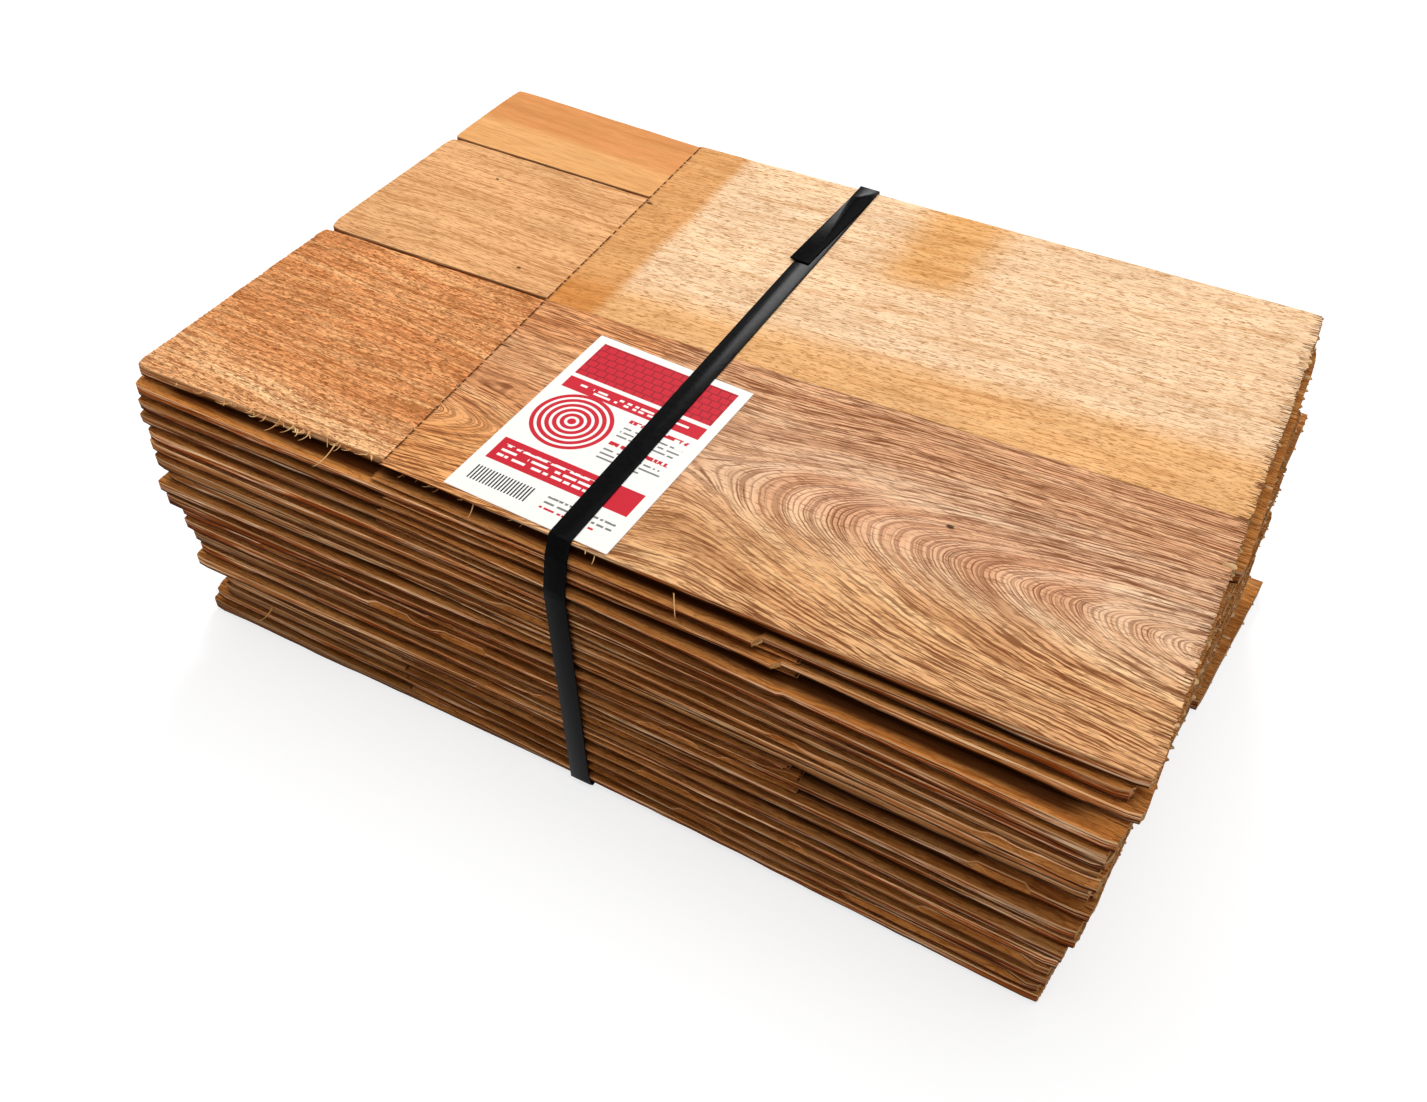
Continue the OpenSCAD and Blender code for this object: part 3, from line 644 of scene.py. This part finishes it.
def worn_ends(tree, given, at):
    """How far the toothed butt and the nibbled tip move in, away from the butt."""
    tooth = at.chance["tooth"]
    comb = put(tree, "ShaderNodeMath", {0: tooth, 1: TOOTH_PITCH, 2: at.y}, operation="MULTIPLY_ADD")
    comb = put(tree, "ShaderNodeMath", {0: comb, 1: TOOTH_PITCH / 2}, operation="PINGPONG")
    teeth = put(tree, "ShaderNodeMapRange", {0: tooth, 1: 0.34, 2: 0.6, 3: 0.5 / TOOTH_PITCH, 4: 2.0 / TOOTH_PITCH})
    teeth = put(tree, "ShaderNodeMath", {0: teeth, 1: given["Teeth"]}, operation="MULTIPLY")
    teeth = put(tree, "ShaderNodeMath", {0: teeth, 1: comb}, operation="MULTIPLY")
    teeth = put(tree, "ShaderNodeMath", {0: at.chance["bow"], 1: BUTT_BOW, 2: teeth}, operation="MULTIPLY_ADD")
    move_x = put(tree, "ShaderNodeMath", {0: teeth, 1: at.near["butt"]}, operation="MULTIPLY")
    nibble = put(tree, "ShaderNodeMath", {0: at.chance["nibble"], 1: -TIP_NIBBLE}, operation="MULTIPLY")
    return put(tree, "ShaderNodeMath", {0: nibble, 1: at.near["tip"], 2: move_x}, operation="MULTIPLY_ADD")


def worn_heights(tree, given, at, hollow):
    """How far the underside rises into the hollow, and how far the upper arris is worn down."""
    # The wedge is formed later, so heights are given larger where it will be thin
    thick = put(tree, "ShaderNodeMapRange", {
        0: at.from_butt, 1: 0.0, 2: given["Long"], 3: given["Butt thick"], 4: given["Tip thick"]})
    stretch = put(tree, "ShaderNodeMath", {0: THICK, 1: thick}, operation="DIVIDE")
    front = put(tree, "ShaderNodeMath", {0: at.near["front hollow"], 1: given["Front open"]}, operation="MULTIPLY")
    back = put(tree, "ShaderNodeMath", {0: at.near["back hollow"], 1: given["Back open"]}, operation="MULTIPLY")
    reach = put(tree, "ShaderNodeMath", {0: front, 1: back}, operation="MAXIMUM")
    butt_reach = put(tree, "ShaderNodeMath", {0: at.near["butt"], 1: BUTT_HOLLOW}, operation="MULTIPLY")
    reach = put(tree, "ShaderNodeMath", {0: reach, 1: butt_reach}, operation="MAXIMUM")
    raised = put(tree, "ShaderNodeMath", {0: hollow, 1: stretch}, operation="MULTIPLY")
    raised = put(tree, "ShaderNodeMath", {0: raised, 1: reach}, operation="MULTIPLY")
    limit = put(tree, "ShaderNodeMath", {0: at.low, 1: MOST_HOLLOW}, operation="MULTIPLY")
    raised = put(tree, "ShaderNodeMath", {0: raised, 1: limit}, operation="MINIMUM")
    arris = put(tree, "ShaderNodeMath", {0: at.near["front arris"], 1: at.near["back arris"]}, operation="MAXIMUM")
    worn = put(tree, "ShaderNodeMath", {0: at.chance["split"], 1: at.high}, operation="MULTIPLY")
    worn = put(tree, "ShaderNodeMath", {0: worn, 1: -ARRIS_WEAR}, operation="MULTIPLY")
    return put(tree, "ShaderNodeMath", {0: worn, 1: arris, 2: raised}, operation="MULTIPLY_ADD")


def wear_of_handling():
    """The wear that a shingle gets from the saw and the bundler, as geometry nodes: wandering edges, a hollow under
    each open edge that leaves a dark gap, broken slivers, sawn teeth on the butt, a nibbled tip, knocked corners and,
    past one place, a front edge that has broken away. It only takes wood away."""
    tree = bpy.data.node_groups.new("wear_of_handling", "GeometryNodeTree")
    tree.interface.new_socket("Geometry", in_out="INPUT", socket_type="NodeSocketGeometry")
    tree.interface.new_socket("Geometry", in_out="OUTPUT", socket_type="NodeSocketGeometry")
    for name in WEAR_SIZES:
        tree.interface.new_socket(name, in_out="INPUT", socket_type="NodeSocketFloat")
    given = put(tree, "NodeGroupInput").node.outputs
    at = wear_places(tree, given)
    move_y, hollow = worn_long_edges(tree, given, at)
    move_x = worn_ends(tree, given, at)
    move_z = worn_heights(tree, given, at, hollow)

    # Knocked corners at the butt
    for distance, way in ((at.y, 1.0), (at.from_back, -1.0)):
        corner = put(tree, "ShaderNodeMath", {0: distance, 1: at.from_butt}, operation="ADD")
        corner = put(tree, "ShaderNodeMapRange", {0: corner, 1: 0.0, 2: CORNER_REACH, 3: 1.0, 4: 0.0})
        corner = put(tree, "ShaderNodeMath", {0: corner, 1: given["Corner"]}, operation="MULTIPLY")
        move_x = put(tree, "ShaderNodeMath", {0: move_x, 1: corner}, operation="ADD")
        move_y = put(tree, "ShaderNodeMath", {0: corner, 1: way, 2: move_y}, operation="MULTIPLY_ADD")
    inwards = put(tree, "ShaderNodeMath", {0: given["Butt at"], 1: given["Long"]}, operation="DIVIDE")
    inwards = put(tree, "ShaderNodeMapRange", {0: inwards, 1: 0.0, 2: 1.0, 3: 1.0, 4: -1.0})
    move_x = put(tree, "ShaderNodeMath", {0: move_x, 1: inwards}, operation="MULTIPLY")

    # What the finish needs to know of each place, from before the wear, with distances in millimetres. The tip and the
    # depth set where the painted tip shadow and the painted shade between the courses fall
    tip = put(tree, "ShaderNodeMapRange", {0: at.from_tip, 1: 0.0, 2: TIP_SHADOW, 3: 1.0, 4: 0.0})
    depth = put(tree, "ShaderNodeMath", {0: at.y, 1: at.from_back}, operation="MINIMUM")
    butt = put(tree, "ShaderNodeMath", {0: at.from_butt, 1: BUTT_DEPTH}, operation="MULTIPLY")
    depth = put(tree, "ShaderNodeMath", {0: depth, 1: butt}, operation="MINIMUM")
    depth = put(tree, "ShaderNodeMath", {0: depth, 1: 1 / MM}, operation="MULTIPLY")
    butt = put(tree, "ShaderNodeMath", {0: at.from_butt, 1: 1 / MM}, operation="MULTIPLY")
    shape = given["Geometry"]
    for name, value in (("shingle", given["Seed"]), ("tone", given["Tone"]), ("tip", tip), ("rise", at.level),
                        ("depth", depth), ("butt", butt)):
        shape = put(tree, "GeometryNodeStoreNamedAttribute", {"Geometry": shape, "Name": name, "Value": value},
                    data_type="FLOAT", domain="POINT")
    move = put(tree, "ShaderNodeCombineXYZ", {0: move_x, 1: move_y, 2: move_z})
    shape = put(tree, "GeometryNodeSetPosition", {"Geometry": shape, "Offset": move})
    tree.links.new(shape, tree.nodes.new("NodeGroupOutput").inputs["Geometry"])
    return tree


def corners_of(points):
    """The eight corners of a CAD shingle among its points: low or high in X, then in Y, then in Z."""
    low = [min(p[i] for p in points) for i in range(3)]
    size = [max(p[i] for p in points) - low[i] for i in range(3)]
    found = {}
    for key in ((a, b, c) for a in (-1, 1) for b in (-1, 1) for c in (-1, 1)):
        weigh = (4 * key[0], 2 * key[1], key[2])
        found[key] = max(points, key=lambda p: sum(w * (p[i] - low[i]) / size[i] for i, w in enumerate(weigh))).copy()
    return found


SAME_CORNER = 0.01 * MM


def cad_shingles(node):
    """The corners of each shingle of a CAD course, from the front one to the back one."""
    own_copy(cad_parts[node], "course_copy")
    bpy.ops.object.mode_set(mode="EDIT")
    bpy.ops.mesh.select_all(action="SELECT")
    bpy.ops.mesh.remove_doubles(threshold=SAME_CORNER)
    bpy.ops.mesh.separate(type="LOOSE")
    bpy.ops.object.mode_set(mode="OBJECT")
    found = [corners_of([v.co for v in part.data.vertices]) for part in bpy.context.selected_objects]
    bpy.ops.object.delete()
    return sorted(found, key=lambda corners: corners[-1, -1, -1].y)


def lay_shingle(pattern, corners, name, material, butt_low, sizes):
    """Copies a pattern, wears it and forms it into the wedge between a CAD shingle's corners."""
    long = (corners[1, -1, -1] - corners[-1, -1, -1]).length
    wide = (corners[-1, 1, -1] - corners[-1, -1, -1]).length
    butt, tip = (-1, 1) if butt_low else (1, -1)
    piece = own_copy(pattern, name)
    piece.scale = (long / LENGTH, wide / WIDTH, 1)
    bpy.ops.object.transform_apply(location=False, rotation=False, scale=True)
    wear = piece.modifiers.new("wear", "NODES")
    wear.node_group = wear_nodes
    sizes = {"Long": long, "Wide": wide, "Butt at": 0.0 if butt_low else long,
             "Butt thick": corners[butt, -1, 1].z - corners[butt, -1, -1].z,
             "Tip thick": corners[tip, -1, 1].z - corners[tip, -1, -1].z, **sizes}
    for socket in wear_nodes.interface.items_tree:
        if socket.name in sizes:
            wear[socket.identifier] = float(sizes[socket.name])
    former.location = (long / 2, wide / 2, THICK / 2)
    former.scale = (long, wide, THICK)
    for index, point in enumerate(former.data.points):
        key = (1 if index & 1 else -1, 1 if index & 2 else -1, 1 if index & 4 else -1)
        point.co_deform = [(corners[key][i] - former.location[i]) / former.scale[i] for i in range(3)]
    form = piece.modifiers.new("form", "LATTICE")
    form.object = former
    bpy.ops.object.modifier_apply(modifier="wear")
    bpy.ops.object.modifier_apply(modifier="form")
    dress(piece, material)
    return piece


STRAP_GROOVE, GROOVE_DEEP, GROOVE_ROOM = "left_course_01", 1.2 * MM, 0.4 * MM


def cut_strap_groove(course):
    """Presses the groove that the strap lies in into the underside of the lowest course."""
    low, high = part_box("strap")
    bpy.ops.mesh.primitive_cube_add(size=1, location=((low.x + high.x) / 2, 0, 0))
    cutter = bpy.context.object
    cutter.scale = (high.x - low.x + GROOVE_ROOM, 1, 2 * GROOVE_DEEP)
    bpy.ops.object.transform_apply(location=True, rotation=True, scale=True)
    only(course)
    groove = course.modifiers.new("groove", "BOOLEAN")
    groove.object = cutter
    groove.solver = "EXACT"
    bpy.ops.object.modifier_apply(modifier="groove")
    bpy.data.objects.remove(cutter)


# Courses

wear_nodes = wear_of_handling()
plain_pattern, fine_pattern = model_shingle(end_cuts=49), model_shingle(end_cuts=130)
bpy.ops.object.add(type="LATTICE")
former = bpy.context.object
for axis in "uvw":
    setattr(former.data, "points_" + axis, 2)
    setattr(former.data, "interpolation_type_" + axis, "KEY_LINEAR")

luck = random.Random(4)
COURSES, SLIVERS_BELOW = 20, 15
TOP_CEDARS = {"left": (cedar_orange, cedar_golden, cedar_honey), "right": (cedar_red, cedar_blond)}
TOP_TEETH = {"left": (0.8, 0.4, 0.4), "right": (1.2, 1.8)}
TOP_WEAR = {"Tone": 0.0, "Wander": 0.5 * MM, "Gap": 2.5 * MM, "Sliver": 0.0}
TORN_WANDER = 1.6 * MM
CLOSE_JOINT = 1.0 * MM
SHARP_FROM = math.radians(32)   # edges of the wood that turn more than this stay sharp
# Where the front edge of a course has broken away to the right, and how deep, in millimetres
BROKEN = {"right_course_19": (96, 5), "right_course_18": (106, 4), "right_course_17": (111, 1.5),
          "right_course_10": (112, 8)}


def drawn_wear(number, place, count):
    """The wear of one shingle, drawn by chance, and its tone, which holds a painted shade that leaves lower courses
    darker and higher ones paler. Slivers have broken off lower ones.
    """
    return {
        # Tone differs at random from shingle to shingle, plus a painted shade that darkens the lower courses
        "Seed": luck.uniform(0, 20), "Tone": luck.uniform(-0.7, 0.7) + 0.6 * (number / COURSES - 0.5),
        "Teeth": luck.uniform(0.2, 0.8) * MM, "Wander": luck.uniform(0.5, 1.8) * MM, "Gap": luck.uniform(2.2, 4.4) * MM,
        "Sliver": luck.choice((0.0, 0.0, 0.0, 2.5)) * MM if number < SLIVERS_BELOW else 0.0,
        "Corner": luck.uniform(0.3, 1.6) * MM, "Front open": place == 0, "Back open": place == count - 1}


sawn_arrises = []
for bank in ("left", "right"):
    for number in range(1, COURSES + 1):
        node = f"{bank}_course_{number:02d}"
        top = number == COURSES
        laid = []
        found = cad_shingles(node)
        for place, corners in enumerate(found):
            sizes = drawn_wear(number, place, len(found))
            material, pattern = cedar_common, plain_pattern
            if bank == "right":
                sawn_arrises.append((corners[1, -1, 1].copy(), corners[1, 1, 1].copy()))
            if place == 0 and node in BROKEN:
                broken_x, broken_deep = BROKEN[node]
                sizes.update({"Break at": broken_x * MM - corners[-1, -1, -1].x, "Break": broken_deep * MM})
            if top:
                material, pattern = TOP_CEDARS[bank][place], fine_pattern
                sizes.update({**TOP_WEAR, "Teeth": TOP_TEETH[bank][place] * MM})
            if top and bank == "right":
                # These two lie tight against each other
                for key in corners:
                    if key[1] == (1 if place == 0 else -1):
                        corners[key].y += CLOSE_JOINT * key[1]
            if top and bank == "left" and place == 0:
                sizes["Wander"] = TORN_WANDER
                torn_arris = (corners[-1, -1, 1], corners[1, -1, 1])
            laid.append(lay_shingle(pattern, corners, f"shingle_{place}", material, bank == "left", sizes))
        course = joined(laid, f"shingles_{bank}_{number:02d}")
        if node == STRAP_GROOVE:
            cut_strap_groove(course)
        bpy.ops.object.shade_smooth_by_angle(angle=SHARP_FROM)
        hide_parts(node)
        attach(course, "root")
for helper in (former, plain_pattern, fine_pattern):
    bpy.data.objects.remove(helper)


# Torn fibres

def strewn(pattern, places, name, material):
    """Copies a small pattern to each place, joins the copies into one piece and finishes it."""
    copies = []
    for place in places:
        copy = bpy.data.objects.new(name, pattern.data.copy())
        copy.data.transform(place)
        bpy.context.scene.collection.objects.link(copy)
        copies.append(copy)
    bpy.data.objects.remove(pattern)
    piece = joined(copies, name)
    dress(piece, material)
    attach(piece, "root")


FIBRE_LONG, FIBRE_ROOT, FIBRE_END, FIBRE_BEND = 10 * MM, 0.5 * MM, 0.12 * MM, math.radians(75)


def model_fibre():
    """One torn fibre, thick at its root, that bends towards -Y."""
    bpy.ops.mesh.primitive_cone_add(
        vertices=5, radius1=FIBRE_ROOT, radius2=FIBRE_END, depth=FIBRE_LONG, location=(0, 0, FIBRE_LONG / 2))
    piece = bpy.context.object
    bpy.ops.object.transform_apply(location=True, rotation=False, scale=False)
    bpy.ops.object.mode_set(mode="EDIT")
    select_edges(lambda a, b: abs(a.z - b.z) > FIBRE_LONG / 2)
    bpy.ops.mesh.subdivide(number_cuts=5)
    bpy.ops.object.mode_set(mode="OBJECT")
    bend = piece.modifiers.new("bend", "SIMPLE_DEFORM")
    bend.deform_method = "BEND"
    bend.deform_axis = "X"
    bend.angle = FIBRE_BEND
    bpy.ops.object.modifier_apply(modifier="bend")
    bpy.ops.object.shade_smooth()
    return piece


# Root, end and thickness of the fibres that stand out, in millimetres
FIBRES = [
    ((-152, -178, 202.6), (-157.5, -191, 188), 0.9), ((-190, -175, 202.4), (-194, -181, 192), 1.0),
    ((-181, -175, 202.4), (-184, -180, 195), 0.9), ((50.6, -181, 200.4), (54.6, -187, 187), 0.8),
    ((-67, -176, 200), (-66, -181, 192), 0.9), ((-236, -176, 34), (-238, -182, 22), 1.1),
    ((-2, -175, 202), (3, -183, 198), 1.0), ((4, -175, 201), (7, -184, 195), 0.8)]
FRINGE = 130   # short ones along the torn front edge of the top
for _ in range(FRINGE):
    root = torn_arris[0].lerp(torn_arris[1], 0.06 + 0.92 * luck.random() ** 0.8) / MM
    root += Vector((0, 1.0, -0.3 - 2.0 * luck.random()))
    long = luck.choice((3, 4, 5, 6, 8))
    way = Vector((luck.uniform(-0.8, 1.2), -luck.uniform(0.5, 1.0), -luck.uniform(0.1, 0.9)))
    FIBRES.append((root, root + way.normalized() * long, luck.uniform(0.6, 1.0)))

places = []
for root, end, thick in FIBRES:
    way = (Vector(end) - Vector(root)) * MM
    size = Vector((thick, thick, way.length / FIBRE_LONG))
    places.append(Matrix.LocRotScale(Vector(root) * MM, way.to_track_quat("Z", "Y"), size))
strewn(model_fibre(), places, "torn_fibres", cedar_fibre("cedar_torn_fibre", "#d9944f", "#ffd89c"))


# Splinters on the sawn butts

SPLINTER_LONG, SPLINTER_WIDE, SPLINTER_THICK = 10 * MM, 2.4 * MM, 1.2 * MM
SPLINTER_PITCH = 8 * MM


def model_splinter():
    """One flat splinter that runs along +X to a slanted end."""
    bpy.ops.mesh.primitive_cube_add(size=1, location=(SPLINTER_LONG / 2, 0, 0))
    piece = bpy.context.object
    piece.scale = (SPLINTER_LONG, SPLINTER_WIDE, SPLINTER_THICK)
    bpy.ops.object.transform_apply(location=True, rotation=True, scale=True)
    bpy.ops.object.mode_set(mode="EDIT")
    select_edges(lambda a, b: abs(a.x - b.x) > SPLINTER_LONG / 2)
    bpy.ops.mesh.subdivide(number_cuts=2)
    select_edges(lambda a, b: min(a.x, b.x) > 0.9 * SPLINTER_LONG)
    bpy.ops.transform.resize(value=(1, 0.45, 0.35), center_override=(SPLINTER_LONG, 0, 0))
    bpy.ops.transform.translate(value=(-1 * MM, 0.4 * MM, 0.3 * MM))
    select_edges(lambda a, b: min(a.x, b.x) > SPLINTER_LONG / 2 and a.y > 0 and b.y > 0)
    bpy.ops.transform.translate(value=(-1.2 * MM, 0, 0.2 * MM))
    bpy.ops.object.mode_set(mode="OBJECT")
    return piece


places = []
for front, back in sawn_arrises:
    for _ in range(round((back - front).length / SPLINTER_PITCH)):
        # Nearly all of a splinter is sunk in the butt
        long = luck.uniform(0.5, 0.85)
        sunk = Vector((luck.uniform(-2.0, 0.6) - 8.5 * long, 0, -0.3 - 6.0 * luck.random() ** 2)) * MM
        turn = Euler((luck.uniform(-0.5, 0.5), luck.uniform(-0.1, 0.25), luck.uniform(-0.2, 0.2)))
        size = Vector((long, luck.uniform(0.5, 1.6), luck.uniform(0.6, 1.3)))
        places.append(Matrix.LocRotScale(front.lerp(back, luck.uniform(0.1, 0.98)) + sunk, turn, size))
strewn(model_splinter(), places, "butt_splinters", cedar_fibre("cedar_broken_splinter", "#7d4a20", "#f4cb95"))


# Strap

STRAP_ROUND = 0.18 * MM   # its long corners
STRAP_CORNER, STRAP_CREASE = math.radians(50), math.radians(40)   # turns that are rounded, and that stay sharp
strap = whole_copy("strap", "black_strap")
rounded = strap.modifiers.new("rounded", "BEVEL")
rounded.width = STRAP_ROUND
rounded.segments = 2
rounded.limit_method = "ANGLE"
rounded.angle_limit = STRAP_CORNER
bpy.ops.object.modifier_apply(modifier="rounded")
bpy.ops.object.shade_smooth_by_angle(angle=STRAP_CREASE)
dress(strap, strapping())
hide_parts("strap")
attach(strap, "root")


# Label

LABEL_TURN = math.radians(-2)
low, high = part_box("label")
label = whole_copy("label", "printed_label")
dress(label, label_card(Vector(((low.x + high.x) / 2, (low.y + high.y) / 2, high.z)), LABEL_TURN))
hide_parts("label")
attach(label, "root")


# Studio

FLOOR_SIZE = 12
FLOOR_LIT, FLOOR_SEEN, FLOOR_GLOW = (0.45, 0.45, 0.45, 1), (0.4, 0.4, 0.4, 1), 0.73
WORLD_LIGHT, WORLD_SEEN = 0.06, 1.0
# Place, width and power of each lamp, and the point that all of them look at
LAMPS = {"overhead_softbox": ((0.1, 0.1, 1.9), 2.0, 34.0), "back_softbox": ((-0.82, 2.5, 1.92), 0.8, 44.0),
         "low_fill": ((0.5, -2.2, 0.45), 1.2, 17.0)}
LAMPS_LOOK_AT = Vector((0, 0, 0.1))


def seen_rays(tree):
    """1 for what the camera sees, straight or mirrored, and 0 for the light that falls on the bundle."""
    ways = put(tree, "ShaderNodeLightPath").node.outputs
    seen = put(tree, "ShaderNodeMath", {0: ways["Is Camera Ray"], 1: ways["Is Glossy Ray"]}, operation="MAXIMUM")
    return put(tree, "ShaderNodeMath", {0: seen, 1: ways["Is Transmission Ray"]}, operation="MAXIMUM")


def paper_floor():
    """Matt white paper, lit so that it shows white and keeps the bundle's shadow."""
    paper = bpy.data.materials.new("white_paper_floor")
    paper.use_nodes = True
    tree = paper.node_tree
    tree.nodes.remove(tree.nodes["Principled BSDF"])
    seen = seen_rays(tree)
    shade = put(tree, "ShaderNodeMix", {0: seen, 6: FLOOR_LIT, 7: FLOOR_SEEN}, **COLOURS)
    matt = put(tree, "ShaderNodeBsdfDiffuse", {"Color": shade})
    glow = put(tree, "ShaderNodeMath", {0: seen, 1: FLOOR_GLOW}, operation="MULTIPLY")
    glow = put(tree, "ShaderNodeEmission", {"Strength": glow})
    both = put(tree, "ShaderNodeAddShader", {0: matt, 1: glow})
    tree.links.new(both, tree.nodes["Material Output"].inputs["Surface"])
    return paper


bpy.ops.mesh.primitive_plane_add(size=FLOOR_SIZE, location=(0, 0, 0))
floor = bpy.context.object
floor.name = "studio_floor"
floor.data.materials.append(paper_floor())

world = bpy.data.worlds.new("studio")
bpy.context.scene.world = world
world.use_nodes = True
sky = world.node_tree.nodes["Background"].inputs
bright = put(world.node_tree, "ShaderNodeMapRange", {
    0: seen_rays(world.node_tree), 1: 0.0, 2: 1.0, 3: WORLD_LIGHT, 4: WORLD_SEEN})
world.node_tree.links.new(bright, sky["Strength"])
sky["Color"].default_value = (1, 1, 1, 1)

for name, (where, size, power) in LAMPS.items():
    bpy.ops.object.light_add(type="AREA", location=where)
    lamp = bpy.context.object
    lamp.name = name
    lamp.data.size = size
    lamp.data.energy = power
    lamp.rotation_euler = (LAMPS_LOOK_AT - lamp.location).to_track_quat("-Z", "Y").to_euler()


# Camera, at the photograph's place: the turn of its view about the upright, its look down, and its roll

PHOTO_WIDTH, FOCAL_PIXELS, SENSOR = 1427, 1489.614, 36
CAMERA_AT = Vector((289.3126, -598.1781, 710.1413)) * MM
CAMERA_TURN, CAMERA_DOWN, CAMERA_ROLL = 0.481898, 0.786159, 0.025466
bpy.ops.object.camera_add()
camera = bpy.context.object
camera.name = "photo_camera"
camera.matrix_world = (
    Matrix.Translation(CAMERA_AT) @ Matrix.Rotation(CAMERA_TURN, 4, "Z")
    @ Matrix.Rotation(math.pi / 2 - CAMERA_DOWN, 4, "X") @ Matrix.Rotation(CAMERA_ROLL, 4, "Z"))
camera.data.sensor_fit = "HORIZONTAL"
camera.data.sensor_width = SENSOR
camera.data.lens = FOCAL_PIXELS / PHOTO_WIDTH * SENSOR
camera.data.clip_start = 0.01
bpy.context.scene.camera = camera
bpy.context.scene.view_settings.view_transform = "Standard"
